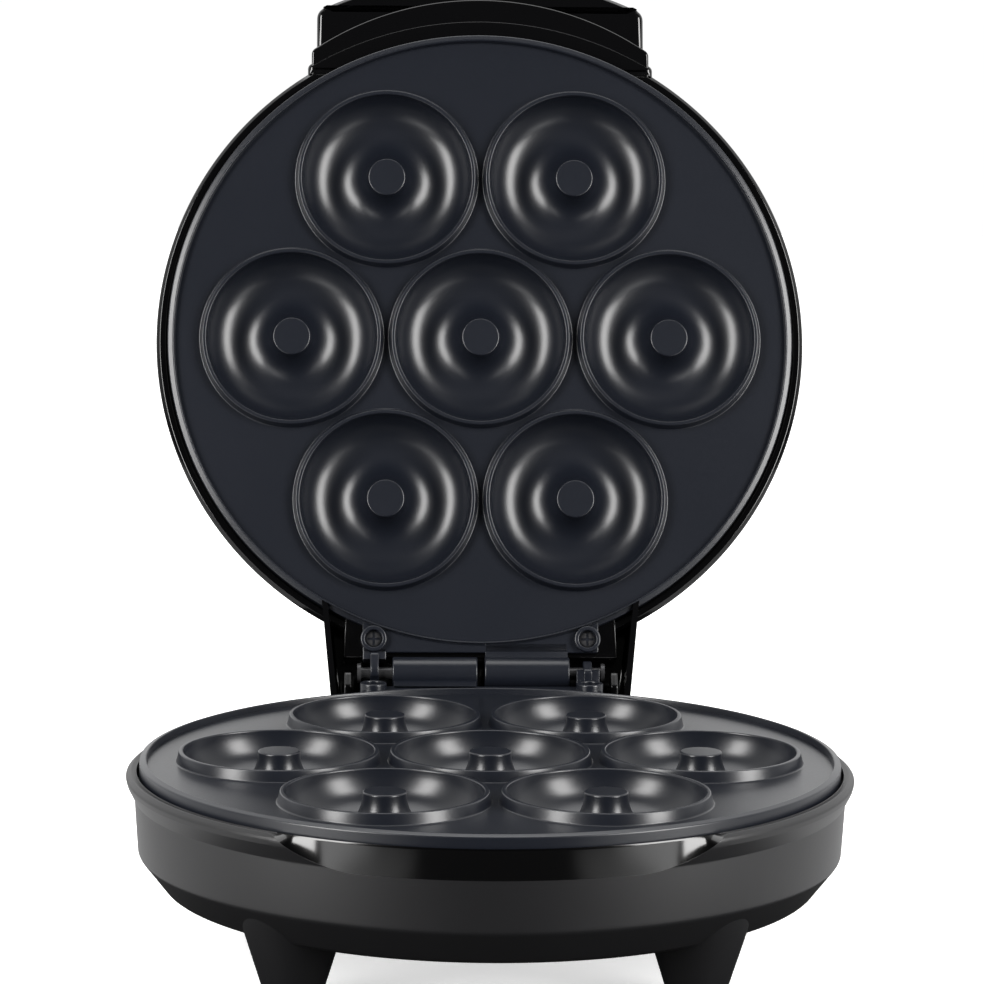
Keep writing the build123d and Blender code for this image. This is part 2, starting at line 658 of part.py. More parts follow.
def base_shell():
    shell = base_turning()
    interior = upright(WALL_R - SHELL_T - 0.2, -BASE_DEPTH - 50, 10)
    seat = hinge_seat() - interior
    shell += seat
    shell += hinge_cheeks()
    for column in tab_bosses():
        shell += column
    shell -= upright(BORE_R, -SKIRT_DEPTH, 10)
    for hole in tab_boss_holes():
        shell -= hole
    for shelf in screw_shelves(WALL_R - 0.5):
        shell += shelf
    lip_top = -BASE_DEPTH + BOTTOM_T + SHELL_T
    for x, y in cover_screw_spots():
        shell += upright(BOSS_R - 0.4, -BASE_DEPTH + BOTTOM_T, lip_top + 8, x, y)
        shell -= upright(COVER_SCREW_R + HOLE_FIT, -BASE_DEPTH, lip_top + 6, x, y)
    shell -= scoop_cutter()
    shell += lengthwise(GLAND_FLANGE_R + 1.5, WALL_R - 6, WALL_R, 0, -GLAND_DROP)
    shell -= lengthwise(GLAND_R + HOLE_FIT, WALL_R - 20, WALL_R + 2, 0, -GLAND_DROP)
    shell = lower(shell)
    for x, y in LEGS:
        shell += Pos(x, y) * leg_cone()
    for x, y in LEGS:
        shell -= Pos(x, y) * leg_cone(-SHELL_T, PAD_PROUD + PAD_T + SHELL_T)
        shell -= upright(PAD_R + HOLE_FIT, PAD_PROUD - 1, PAD_T, x, y)
    return shell


def foot_pads():
    """Rubber pads let into the ends of the legs."""
    pads = []
    for x, y in LEGS:
        pads.append(chamfer(upright(PAD_R, 0, PAD_T, x, y).edges().sort_by(Axis.Z)[0], 0.5))
    return pads


def bottom_cover():
    """Flat steel base plate with cooling slots, notched round the legs."""
    low = PARTING_Z - BASE_DEPTH
    cover = upright(BASE_FOOT_R - 2.6 - 0.3, low, low + BOTTOM_T)
    for x, y in LEGS:
        cover -= Pos(x, y) * leg_cone(0.5)
    for x, y in cover_screw_spots():
        cover -= upright(COVER_SCREW_R + HOLE_CLEAR, low - 1, low + 3, x, y)
    for row in range(-3, 4):
        slot = Pos(0, row * 9, low + BOTTOM_T / 2) * extrude(SlotOverall(46, 3.4), BOTTOM_T * 2, both=True)
        cover -= slot
    return cover


def cover_screws():
    low = PARTING_Z - BASE_DEPTH
    return [Pos(x, y, low) * screw(COVER_SCREW_R, SCREW_HEAD_R, 9.0, 1.4) for x, y in cover_screw_spots()]


def front_plate_screws():
    seat = -SHELF_DROP - SHELF_T
    return [Pos(x, y, seat) * screw(SCREW_R, SCREW_HEAD_R, SHELF_T + 7) for x, y in front_spots()]


def tab_screws():
    """Screws that go down through the tab into the housing."""
    seat = -TAB_UNDER + TAB_FLOOR
    one = Rot(180, 0, 0) * screw(TAB_SCREW_R, SCREW_HEAD_R, 10.5)
    return [Pos(side * TAB_SCREW_X, TAB_SCREW_Y, seat) * one for side in (-1, 1)]


def hinge_pin(side):
    """Headed steel pin of one side, through a long barrel and the other plate's ear."""
    end = LUG_END + 0.6
    inner = BARREL_START + 2
    pin = crosswise(PIN_R, side * inner, side * end, HINGE_Y, HINGE_Z)
    head = crosswise(PIN_R + 1.3, side * end, side * (end + 1.2), HINGE_Y, HINGE_Z)
    return pin + head


def cord_gland():
    """Rubber grommet in the back of the base, where the cord goes in."""
    z = PARTING_Z - GLAND_DROP
    back = WALL_R + GLAND_FLANGE_T
    gland = lengthwise(GLAND_R, back - GLAND_LENGTH, WALL_R, 0, z)
    gland += lengthwise(GLAND_FLANGE_R, WALL_R, back, 0, z)
    return gland - lengthwise(GLAND_BORE_R, back - GLAND_LENGTH - 1, back + 1, 0, z)


# The lid's own pieces, drawn in the base's half and turned over afterwards.


def lid_outline(inset):
    """Corners of the domed outside, set in by inset, from the side wall to the middle."""
    return [
        (WALL_R - WALL_DRAFT - inset, -LID_SHOULDER + 0.4 * inset),
        (WALL_R - LID_CROWN_IN - inset, -LID_DEPTH + LID_CROWN_DROP + inset),
        (0, -LID_DEPTH + inset),
    ]


def lid_rounds(inset):
    shoulder, crown = lid_outline(inset)[:2]
    return [(*shoulder, LID_SHOULDER_R - inset), (*crown, LID_CROWN_R - inset)]


def lid_turning():
    corners = flange_profile() + lid_outline(0)
    inner = lid_outline(SHELL_T)
    corners += inner[::-1]
    corners += [(WALL_R - SHELL_T, -SKIRT_DEPTH - LEDGE_T - LEDGE_IN)]
    return turned(corners, flange_rounds() + lid_rounds(0) + lid_rounds(SHELL_T))


def lid_solid():
    """The lid's outside filled in, to trim what is fixed on it."""
    corners = [(0, -FLANGE_TOP)] + flange_profile()[4:] + lid_outline(0)
    return turned(corners, flange_rounds() + lid_rounds(0))


def tail_box(inset, hem):
    """Tapered box round the hinge, set in all round, down to the given height."""
    front = PLATE_R - 20
    back = HINGE_Y + TAIL_REACH - inset
    high = HINGE_RISE - TAIL_RISE + inset
    taper = (TAIL_HALF - TAIL_END_HALF) / (HINGE_Y + TAIL_REACH - PLATE_R + 10)
    wide = TAIL_HALF - inset + 10 * taper
    narrow = TAIL_END_HALF - inset
    plan = make_face(Polyline((-wide, front), (wide, front), (narrow, back), (-narrow, back), close=True))
    solid = Pos(0, 0, high) * extrude(plan, hem - high)
    low_back = solid.edges().filter_by(Axis.X).sort_by(Axis.Y)[-2:].sort_by(Axis.Z)[0]
    return fillet(low_back, TAIL_R - inset)


def lid_hinge_tail():
    """Hollow tail of the lid that hides the hinge from behind, open below."""
    hem = HINGE_RISE - TAIL_HEM
    return tail_box(0, hem) - tail_box(TAIL_T, hem + 30)


def lens_spots():
    return [(-LAMP_X, -LAMP_Y), (LAMP_X, -LAMP_Y)]


def handle_screw_spots():
    return [-HANDLE_SCREW_X, HANDLE_SCREW_X]


def lid_shell():
    shell = lid_turning()
    tail = lid_hinge_tail() - lid_solid()
    shell += tail
    interior = upright(WALL_R - SHELL_T - 0.2, -LID_DEPTH - 50, 10)
    back = PLATE_R + TAB_REACH + 1.5
    seat = block(-SEAT_HALF, SEAT_HALF, PLATE_R - 16, back, -TAB_UNDER - SEAT_DEPTH, -TAB_UNDER)
    shell += seat - interior
    for column in tab_bosses():
        shell += column
    shell -= upright(BORE_R, -SKIRT_DEPTH, 10)
    for hole in tab_boss_holes():
        shell -= hole
    for shelf in screw_shelves(WALL_R - 0.5):
        shell += shelf
    for x, y in lens_spots():
        shell -= upright(LENS_R + 0.1, -LID_DEPTH - 5, -LID_DEPTH + 20, x, y)
    for x in handle_screw_spots():
        shell -= lengthwise(SCREW_R + HOLE_CLEAR, -WALL_R - 6, -WALL_R + 20, x, -HANDLE_SCREW_DROP)
    posts, pilots = lamp_posts()
    for post, pilot in zip(posts, pilots):
        shell += post - pilot
    return shell


def handle_plan(half, reach, arc_r, corner):
    """Plan of the handle: straight sides and a front that is part of a circle."""
    apex = -(FLANGE_R + reach)
    middle = apex + arc_r
    side_y = middle - sqrt(arc_r**2 - half**2)
    back = -PLATE_R + 35
    edges = [
        Line((half, back), (half, side_y)),
        ThreePointArc((half, side_y), (0, apex), (-half, side_y)),
        Line((-half, side_y), (-half, back)),
        Line((-half, back), (half, back)),
    ]
    face = make_face([edge for part in edges for edge in part.edges()])
    return rounded(face, [(half, side_y, corner), (-half, side_y, corner)])


def handle():
    """Grip on the front of the lid, on a stepped root that fits the lid's wall, cored from the back."""
    height = HANDLE_TOP - HANDLE_BASE
    grip_plan = handle_plan(HANDLE_HALF, HANDLE_REACH, HANDLE_ARC_R, 4.0)
    grip = Pos(0, 0, -HANDLE_TOP) * extrude(grip_plan, height)
    for face in (0, -1):
        rim = grip.faces().sort_by(Axis.Z)[face].edges().filter_by(lambda e: e.center().Y < -PLATE_R + 30)
        grip = fillet(rim, HANDLE_EDGE_R)
    root_plan = handle_plan(HANDLE_ROOT_HALF, HANDLE_ROOT_REACH, HANDLE_ROOT_R, 2.5)
    root = Pos(0, 0, -HANDLE_TOP - HANDLE_STEP) * extrude(root_plan, height + 2 * HANDLE_STEP)
    core_plan = handle_plan(HANDLE_HALF - HANDLE_T, HANDLE_REACH - HANDLE_T, HANDLE_ARC_R - HANDLE_T, 2.0)
    core = Pos(0, 0, -HANDLE_TOP + HANDLE_T) * extrude(core_plan, height - 2 * HANDLE_T)
    for x in handle_screw_spots():
        core -= lengthwise(HANDLE_BOSS_R, -FLANGE_R - HANDLE_REACH, -PLATE_R + 40, x, -HANDLE_SCREW_DROP)
    whole = (grip + root) - core - lid_solid() - upright(WALL_R - 1, -60, 10)
    for x in handle_screw_spots():
        whole -= lengthwise(SCREW_R + HOLE_FIT, -WALL_R - 8, -WALL_R + 20, x, -HANDLE_SCREW_DROP)
    return whole


def handle_screws():
    """Screws from inside the lid into the handle's root."""
    screws = []
    for x in handle_screw_spots():
        wall_y = -sqrt((WALL_R - SHELL_T) ** 2 - (abs(x) + SCREW_HEAD_R) ** 2)
        one = Rot(90, 0, 0) * screw(SCREW_R, SCREW_HEAD_R, 8.5)
        screws.append(Pos(x, wall_y + 0.6, -HANDLE_SCREW_DROP) * one)
    return screws


def lens_top():
    """Height of the lenses' tops, a little proud of the lid's crown where they stand."""
    return -LID_DEPTH + LID_CROWN_DROP * hypot(LAMP_X, LAMP_Y) / (WALL_R - LID_CROWN_IN) - LENS_PROUD


def lens(x, y):
    """Push-in lamp lens with a domed top and a flange inside the lid."""
    top = lens_top()
    stem = fillet(upright(LENS_R, top, top + 6, x, y).edges().sort_by(Axis.Z)[0], 1.2)
    return stem + upright(LENS_R + 1.5, top + 4.6, top + 6, x, y)


def holder_screw_spots():
    return [(-LAMP_X - 10, -LAMP_Y), (LAMP_X + 10, -LAMP_Y)]


def lamp_holder():
    """Moulded bridge that carries both neon lamps under their lenses."""
    top = lens_top() + HOLDER_DROP
    half = LAMP_X + 14
    bridge = block(-half, half, -LAMP_Y - 6, -LAMP_Y + 6, top, top + HOLDER_T)
    for x, y in lens_spots():
        bridge += upright(LAMP_R + 1.6, top + 1, top + 5, x, y)
        bridge -= upright(LAMP_R + HOLE_CLEAR, top - 1, top + 10, x, y)
    for x, y in holder_screw_spots():
        bridge -= upright(SCREW_R + HOLE_CLEAR, top - 1, top + 5, x, y)
    return bridge


def lamp_posts():
    """Posts inside the lid's crown for the lamp holder, with their pilot holes."""
    bottom = lens_top() + HOLDER_DROP
    posts = [upright(SCREW_R + 1.5, -LID_DEPTH + 4, bottom, x, y) for x, y in holder_screw_spots()]
    pilots = [upright(SCREW_R + HOLE_FIT, bottom - 3.6, bottom + 1, x, y) for x, y in holder_screw_spots()]
    return posts, pilots


def holder_screws():
    seat = lens_top() + HOLDER_DROP + HOLDER_T
    one = Rot(180, 0, 0) * screw(SCREW_R, 2.4, 4.8, 1.2)
    return [Pos(x, y, seat) * one for x, y in holder_screw_spots()]


def neon_lamps():
    top = lens_top() + HOLDER_DROP
    lamps = [upright(LAMP_R, top, top + 7, x, y) for x, y in lens_spots()]
    return [fillet(lamp.edges().sort_by(Axis.Z)[0], 1.5) for lamp in lamps]


def terminal_block():
    """Two-way block on the bottom cover, where the cord's cores would be joined."""
    low = PARTING_Z - BASE_DEPTH + BOTTOM_T
    front = TERMINAL_Y - TERMINAL_HALF_Y
    back = TERMINAL_Y + TERMINAL_HALF_Y
    body = block(-TERMINAL_HALF_X, TERMINAL_HALF_X, front, back, low, low + TERMINAL_H)
    for x in (-TERMINAL_X, TERMINAL_X):
        body -= upright(2.4, low + 3, low + TERMINAL_H + 3, x, TERMINAL_Y)
        body -= lengthwise(1.8, front - 2, back + 2, x, low + 3.4)
    return body


def terminal_screws():
    low = PARTING_Z - BASE_DEPTH + BOTTOM_T
    high = low + TERMINAL_H - 0.6
    return [upright(2.3, high - 3, high, x, TERMINAL_Y) for x in (-TERMINAL_X, TERMINAL_X)]


def thermal_fuse():
    """Fuse in its glass-fibre sleeve, under the reflector."""
    z = -REFLECTOR_DROP - REFLECTOR_T - FUSE_DROP
    return crosswise(FUSE_R, -FUSE_HALF, FUSE_HALF, FUSE_Y, z)


def fuse_clamp():
    """Bridge over the fuse, open along both of its sides."""
    z = -REFLECTOR_DROP - REFLECTOR_T
    side = FUSE_R + 1.0
    end = side + 3.1
    wide = STRAP_HALF + 2
    strap = block(-STRAP_HALF, STRAP_HALF, FUSE_Y - end, FUSE_Y + end, z - 6.2, z)
    strap -= crosswise(FUSE_R + HOLE_FIT, -wide, wide, FUSE_Y, z - FUSE_DROP)
    strap -= block(-wide, wide, FUSE_Y - end - 1, FUSE_Y - side, z - 6.4, z - 0.8)
    strap -= block(-wide, wide, FUSE_Y + side, FUSE_Y + end + 1, z - 6.4, z - 0.8)
    return strap


def write(name, *solids):
    """Write one node, made of one or more separate solids."""
    pieces = []
    for solid in solids:
        pieces.extend(solid.solids())
    placed = [Pos(0, -ORIGIN_BACK, 0) * piece for piece in pieces]
    export_step(placed[0] if len(placed) == 1 else Compound(children=placed), f"parts/{name}.step")
    print(name, len(pieces))


def lid_piece(thing):
    """Put something drawn in the base's half in its place in the open lid."""
    return opened(closed_lid(thing))


# The base.
write("base_shell", base_shell())
write("bottom_cover", bottom_cover())
write("bottom_cover_screws", *cover_screws())
for number, pad in enumerate(foot_pads(), 1):
    write(f"foot_pad_{number}", pad)
write("cord_gland", cord_gland())
write("lower_plate", lower(plate_casting(PIN_SNUG, PIN_SNUG)))
write("lower_heating_element", lower(heating_element()))
write("lower_element_clips", *[lower(clip) for clip in element_clips()])
write("lower_clip_screws", *[lower(one) for one in clip_screws()])
write("lower_reflector", lower(reflector()))
write("lower_reflector_screws", *[lower(one) for one in reflector_screws()])
write("lower_plate_screws", *[lower(one) for one in front_plate_screws()])
write("lower_tab_screws", *[lower(one) for one in tab_screws()])
write("thermostat_bracket", lower(thermostat_bracket()))
write("thermostat", lower(thermostat()))
write("thermal_fuse", lower(thermal_fuse()))
write("fuse_clamp", lower(fuse_clamp()))
write("terminal_block", terminal_block())
write("terminal_screws", *terminal_screws())
write("hinge_pin_left", hinge_pin(-1))
write("hinge_pin_right", hinge_pin(1))


# The lid.
write("lid_shell", lid_piece(lid_shell()))
write("handle", lid_piece(handle()))
write("handle_screws", *[lid_piece(one) for one in handle_screws()])
write("upper_plate", lid_piece(plate_casting(PIN_RUNNING, PIN_RUNNING)))
write("upper_heating_element", lid_piece(heating_element()))
write("upper_element_clips", *[lid_piece(clip) for clip in element_clips()])
write("upper_clip_screws", *[lid_piece(one) for one in clip_screws()])
write("upper_reflector", lid_piece(reflector()))
write("upper_reflector_screws", *[lid_piece(one) for one in reflector_screws()])
write("upper_plate_screws", *[lid_piece(one) for one in front_plate_screws()])
write("upper_tab_screws", *[lid_piece(one) for one in tab_screws()])
write("power_lens", lid_piece(lens(*lens_spots()[0])))
write("ready_lens", lid_piece(lens(*lens_spots()[1])))
write("lamp_holder", lid_piece(lamp_holder()))
write("lamp_holder_screws", *[lid_piece(one) for one in holder_screws()])
write("neon_lamps", *[lid_piece(lamp) for lamp in neon_lamps()])
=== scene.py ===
import json

import bmesh
import bpy
import numpy as np
from mathutils import Matrix


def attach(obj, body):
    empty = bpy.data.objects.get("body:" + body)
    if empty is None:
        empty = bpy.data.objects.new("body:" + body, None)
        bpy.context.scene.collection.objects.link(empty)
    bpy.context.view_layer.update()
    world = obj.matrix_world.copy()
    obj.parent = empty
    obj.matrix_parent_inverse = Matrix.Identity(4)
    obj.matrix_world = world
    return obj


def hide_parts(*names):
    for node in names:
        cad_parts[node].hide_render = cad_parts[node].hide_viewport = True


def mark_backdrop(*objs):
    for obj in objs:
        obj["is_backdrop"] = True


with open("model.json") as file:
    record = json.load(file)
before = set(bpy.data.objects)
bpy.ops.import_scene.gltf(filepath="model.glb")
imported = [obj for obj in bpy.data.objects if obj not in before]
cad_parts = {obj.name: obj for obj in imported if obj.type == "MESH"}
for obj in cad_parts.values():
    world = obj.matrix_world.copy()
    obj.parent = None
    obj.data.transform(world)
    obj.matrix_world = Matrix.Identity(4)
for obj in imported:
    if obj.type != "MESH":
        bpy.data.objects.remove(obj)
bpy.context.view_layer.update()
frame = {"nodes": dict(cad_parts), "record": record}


# Camera. It stands a little over a metre in front of the appliance, slightly left of its middle,
# and looks down on the lower plate at about eight degrees.
pitch, yaw, roll = np.radians([8.0969, 1.6775, 0.468])
forward = np.array([np.sin(yaw) * np.cos(pitch), np.cos(yaw) * np.cos(pitch), -np.sin(pitch)])
sideways = np.array([np.cos(yaw), -np.sin(yaw), 0.0])
upwards = np.cross(sideways, forward)
camera = bpy.data.objects.new("camera", bpy.data.cameras.new("camera"))
camera.data.lens = 136.16
camera.data.sensor_width = 36.0
turned_view = np.eye(4)
turned_view[:3, 0] = sideways * np.cos(roll) + upwards * np.sin(roll)
turned_view[:3, 1] = upwards * np.cos(roll) - sideways * np.sin(roll)
turned_view[:3, 2] = -forward
turned_view[:3, 3] = [-0.03251, -1.15746, 0.29661]
camera.matrix_world = Matrix(turned_view.tolist())
bpy.context.scene.collection.objects.link(camera)
bpy.context.scene.camera = camera
bpy.context.scene.view_settings.view_transform = "Standard"


# Studio. A pale round table under a white surround that is dim towards the front. The table glows,
# dimmer near the appliance, which paints shade round it, and shows near black to all but camera rays,
# a painted dark reflection. A tall soft light stands each side of the camera and draws the crescents
# in the bowls, one hangs overhead, and four flat cards on the table light the sides of the base from below.
class Finish:
    """A material while it is being made: its Principled shader and a way to add any other node."""

    def __init__(self, name, owner=None, **constants):
        self.material = owner or bpy.data.materials.new(name)
        self.material.use_nodes = True
        self.nodes, self.links = self.material.node_tree.nodes, self.material.node_tree.links
        self.shader = self.nodes.get("Principled BSDF")
        for socket, value in constants.items():
            self.shader.inputs[socket.replace("_", " ")].default_value = value

    def node(self, kind, settings=None, sockets=None, output=0):
        """Adds a node of that type: its settings first, then the value or link of each socket."""
        made = self.nodes.new(kind)
        for key, value in (settings or {}).items():
            setattr(made, key, value)
        for key, value in (sockets or {}).items():
            self.plug(made.inputs[key], value)
        return Signal(self, made.outputs[output])

    def plug(self, socket, value):
        if isinstance(value, Signal):
            self.links.new(value.socket, socket)
        else:
            socket.default_value = value

    def drive(self, **sockets):
        """Links what changes over the surface to the shader's sockets."""
        for key, value in sockets.items():
            self.plug(self.shader.inputs[key.replace("_", " ")], value)
        return self.material


class Signal:
    """One output of a node. Arithmetic on it, from either side, adds Math nodes."""

    def __init__(self, finish, socket):
        self.finish, self.socket = finish, socket

    def maths(self, operation, first, second):
        return self.finish.node("ShaderNodeMath", {"operation": operation}, {0: first, 1: second})

    def __add__(self, other): return self.maths("ADD", self, other)
    def __radd__(self, other): return self.maths("ADD", other, self)
    def __sub__(self, other): return self.maths("SUBTRACT", self, other)
    def __rsub__(self, other): return self.maths("SUBTRACT", other, self)
    def __mul__(self, other): return self.maths("MULTIPLY", self, other)
    def __rmul__(self, other): return self.maths("MULTIPLY", other, self)


class Shape:
    """Grids of points, in millimetres, that become the faces of one piece."""

    def __init__(self):
        self.points, self.faces, self.marks, self.count = [], [], [], 0

    def grid(self, points, ring=False, loop=False, mark=0.0):
        """Quads between neighbours in rows and columns of points. ring joins the last column to the
        first, and loop the last row to the first. mark is stored on every point."""
        rows, columns = points.shape[:2]
        number = np.arange(rows * columns).reshape(rows, columns) + self.count
        self.points.append(points.reshape(-1, 3))
        self.marks.append(np.broadcast_to(mark, (rows, columns)).reshape(-1))
        self.count += rows * columns
        if ring:
            number = np.hstack([number, number[:, :1]])
        if loop:
            number = np.vstack([number, number[:1]])
        quads = np.stack([number[:-1, :-1], number[:-1, 1:], number[1:, 1:], number[1:, :-1]], -1)
        self.faces += quads.reshape(-1, 4).tolist()
        return self

    def cap(self, ring, mark=0.0):
        """One flat face over a closed ring of points."""
        self.points.append(ring)
        self.marks.append(np.full(len(ring), mark))
        self.faces.append(list(range(self.count, self.count + len(ring))))
        self.count += len(ring)
        return self

    def piece(self, name, body, finish, slot, place, replaces=()):
        """The finished object: doubles merged, normals outwards, edges over 35 degrees left sharp."""
        mesh = bpy.data.meshes.new(name)
        mesh.from_pydata((place(np.vstack(self.points)) * 0.001).tolist(), [], self.faces)
        mark = mesh.attributes.new("mark", "FLOAT", "POINT")
        mark.data.foreach_set("value", np.concatenate(self.marks).astype(np.float32))
        work = bmesh.new()
        work.from_mesh(mesh)
        bmesh.ops.remove_doubles(work, verts=work.verts, dist=2e-6)
        bmesh.ops.dissolve_degenerate(work, edges=work.edges, dist=1e-7)
        bmesh.ops.recalc_face_normals(work, faces=work.faces)
        work.to_mesh(mesh)
        work.free()
        mesh.shade_smooth()
        mesh.set_sharp_from_angle(angle=np.radians(35))
        mesh.materials.append(finish)
        thing = bpy.data.objects.new(name, mesh)
        bpy.context.scene.collection.objects.link(thing)
        if body is None:
            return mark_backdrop(thing)
        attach(thing, body)
        if replaces:
            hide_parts(*replaces)
        return thing


def as_drawn(points):
    """Points stay where they are."""
    return points


def turned(profile, angles, centre=(0.0, 0.0)):
    """Surface of revolution about an upright axis: a profile of (radius, height) carried round it."""
    radius, height = np.array(profile, float)[:, 0, None], np.array(profile, float)[:, 1, None]
    across = centre[0] + radius * np.cos(angles)
    along = centre[1] + radius * np.sin(angles)
    return np.stack([across, along, height + 0 * across], -1)


def circle(columns, start=0.0):
    """Evenly spaced angles of a full turn."""
    return start + np.arange(columns) * 2 * np.pi / columns


world = bpy.data.worlds.new("surround")
bpy.context.scene.world = world
sky = Finish("surround", world)
heading = sky.node("ShaderNodeTexCoord", {}, {}, "Generated")
facing = sky.node("ShaderNodeSeparateXYZ", {}, {0: heading}, 1)
behind = sky.node("ShaderNodeMapRange", {"interpolation_type": "SMOOTHSTEP"},
                  {"Value": facing, "From Min": -0.35, "From Max": 0.40, "To Min": 0.03, "To Max": 1.1})
seen = sky.node("ShaderNodeLightPath", {}, {}, "Is Camera Ray")
level = behind * (1 - seen) + seen * 1.02
backing = sky.nodes.get("Background")
sky.plug(backing.inputs["Strength"], level)
backing.inputs["Color"].default_value = (1.0, 1.0, 1.0, 1.0)

# Painted shade: the table glows, at full strength far out but dimmer near the appliance, so the floor round
# it is painted darker on top of the real contact shadow.
table_finish = Finish("table_white", Base_Color=(0.86, 0.86, 0.855, 1), Roughness=0.6,
                      Emission_Strength=1.0)
spot = table_finish.node("ShaderNodeTexCoord", {}, {}, "Object")
away = table_finish.node("ShaderNodeVectorMath", {"operation": "LENGTH"}, {0: spot}, "Value")
painted_glow_and_shade = table_finish.node("ShaderNodeMapRange", {"interpolation_type": "SMOOTHSTEP"},
                         {"Value": away, "From Min": 0.2, "From Max": 0.8, "To Min": 0.6, "To Max": 1.0})
table_finish.drive(Emission_Color=painted_glow_and_shade)
# Painted dark reflection: to every ray but the camera's the table is this near-black diffuse sheet, so the
# lower surfaces reflect and receive dark instead of the white floor.
shade = table_finish.node("ShaderNodeBsdfDiffuse", {}, {"Color": (0.03, 0.03, 0.03, 1)})
camera_sees = table_finish.node("ShaderNodeLightPath", {}, {}, "Is Camera Ray")
chosen = table_finish.node("ShaderNodeMixShader", {}, {0: camera_sees, 1: shade})
table_finish.links.new(table_finish.shader.outputs[0], chosen.socket.node.inputs[2])
table_finish.links.new(chosen.socket, table_finish.nodes["Material Output"].inputs[0])
table = Shape().grid(turned([(0, 0), (150, 0), (600, 0), (3000, 0)], circle(96)), ring=True)
table.piece("table_top", None, table_finish.material, None, as_drawn)

for name, place, aim, width, height, power, tint in [
    ("soft_light_left", (-1.26, -0.97, 0.66), (0, 0, 0.15), 0.60, 1.45, 44.0, (1.0, 0.99, 0.98)),
    ("soft_light_right", (1.26, -0.97, 0.66), (0, 0, 0.15), 0.66, 1.45, 48.0, (1.0, 0.99, 0.98)),
    ("soft_light_above", (0.0, 0.35, 1.7), (0, 0, 0.1), 1.6, 1.2, 14.0, (1.0, 1.0, 1.0)),
    ("floor_card_left", (-0.44, 0.02, 0.002), (-0.44, 0.02, 1.0), 0.62, 0.86, 1.5, (1.0, 1.0, 1.0)),
    ("floor_card_right", (0.44, 0.02, 0.002), (0.44, 0.02, 1.0), 0.62, 0.86, 1.5, (1.0, 1.0, 1.0)),
    ("front_card_left", (-0.34, -0.31, 0.003), (-0.34, -0.31, 1.0), 0.24, 0.20, 0.4, (1.0, 1.0, 1.0)),
    ("front_card_right", (0.35, -0.31, 0.003), (0.35, -0.31, 1.0), 0.26, 0.20, 0.4, (1.0, 1.0, 1.0)),
]:
    lamp = bpy.data.lights.new(name, "AREA")
    lamp.shape, lamp.size, lamp.size_y, lamp.energy, lamp.color = "RECTANGLE", width, height, power, tint
    stand = bpy.data.objects.new(name, lamp)
    line = np.array(aim) - np.array(place)
    line = line / np.linalg.norm(line)
    across = np.cross([0, 1, 0] if abs(line[2]) > 0.9 else [0, 0, -1], line)
    across = across / np.linalg.norm(across)
    matrix = np.eye(4)
    matrix[:3] = np.stack([across, np.cross(across, line), -line, place], 1)
    stand.matrix_world = Matrix(matrix.tolist())
    stand.visible_camera = False
    bpy.context.scene.collection.objects.link(stand)


# Base housing. One moulding of black plastic: a rolled flange round the plate, a side wall, a lower
# slope, four hollow legs, a finger scoop cut into the front, and the seat and cheeks of the hinge.
def bent(points, radii, closed=False, steps=5):
    """A line whose corners are arcs. Each arc touches both lines of its corner, at its radius times
    the tangent of half the turn from it; a close point on each side keeps the flats flat."""
    points = np.array(points, float)
    count = len(points)
    line = []
    for number in range(count):
        corner, radius = points[number], radii[number]
        if radius == 0 or (not closed and number in (0, count - 1)):
            line.append(corner)
            continue
        into, out = corner - points[number - 1], points[(number + 1) % count] - corner
        before, after = np.linalg.norm(into), np.linalg.norm(out)
        into, out = into / before, out / after
        turn = np.arctan2(into[0] * out[1] - into[1] * out[0], into @ out)
        reach = radius * abs(np.tan(turn / 2))
        centre = corner - into * reach + np.sign(turn) * radius * np.array([-into[1], into[0]])
        sweep = np.linspace(0, turn, steps + 1)[:, None]
        arm = corner - into * reach - centre
        arc = centre + arm * np.cos(sweep) + np.array([-arm[1], arm[0]]) * np.sin(sweep)
        line.append(corner - into * min(reach + 0.3 * radius, 0.5 * (before + reach)))
        line.extend(arc)
        line.append(corner + out * min(reach + 0.3 * radius, 0.5 * (after + reach)))
    return np.array(line)


def inward_way(outline):
    """A closed outline without repeated points, and at each point the way inwards that moves both
    neighbouring lines by one: twice the inner normal of their summed directions over its square."""
    outline = outline[np.linalg.norm(outline - np.roll(outline, 1, 0), axis=1) > 1e-4]
    before, after = outline - np.roll(outline, 1, 0), np.roll(outline, -1, 0) - outline
    both = sum(side / np.linalg.norm(side, axis=1, keepdims=True) for side in (before, after))
    following = np.roll(outline, -1, 0)
    area = np.sum(outline[:, 0] * following[:, 1] - following[:, 0] * outline[:, 1])
    inward = np.sign(area) * np.stack([-both[:, 1], both[:, 0]], 1)
    return outline, inward * 2 / np.maximum(np.sum(both * both, axis=1, keepdims=True), 0.5)


def slab(shape, outline, low, high, edge=0.4, steps=3, axes=(0, 1, 2), mark=0.0):
    """Prism over a closed outline from low to high with rounded rims: towards each end the outline
    moves in along its normals by edge times one minus the cosine, over edge times one minus the sine."""
    outline, inward = inward_way(outline)
    angle = np.linspace(0, np.pi / 2, steps + 1)
    inset = np.append(edge * (1 - np.cos(angle)), 1.4 * edge)
    drop = np.append(edge * (1 - np.sin(angle)), 0.0)
    insets = np.concatenate([inset[::-1], inset])
    heights = np.concatenate([low + drop[::-1], high - drop])
    flat = outline[None] + insets[:, None, None] * inward[None]
    points = np.dstack([flat, np.broadcast_to(heights[:, None], flat.shape[:2])])[:, :, list(axes)]
    shape.grid(points, ring=True, mark=mark)
    shape.cap(points[0], mark).cap(points[-1], mark)
    return shape


axis_forward, parting_level = 51.8, 60.0


def in_base(points):
    """From the base's own axis and the lower plate's post tops to the appliance's place: moved
    forward by the axis offset and up by the parting level."""
    return points + np.array([0.0, -axis_forward, parting_level])


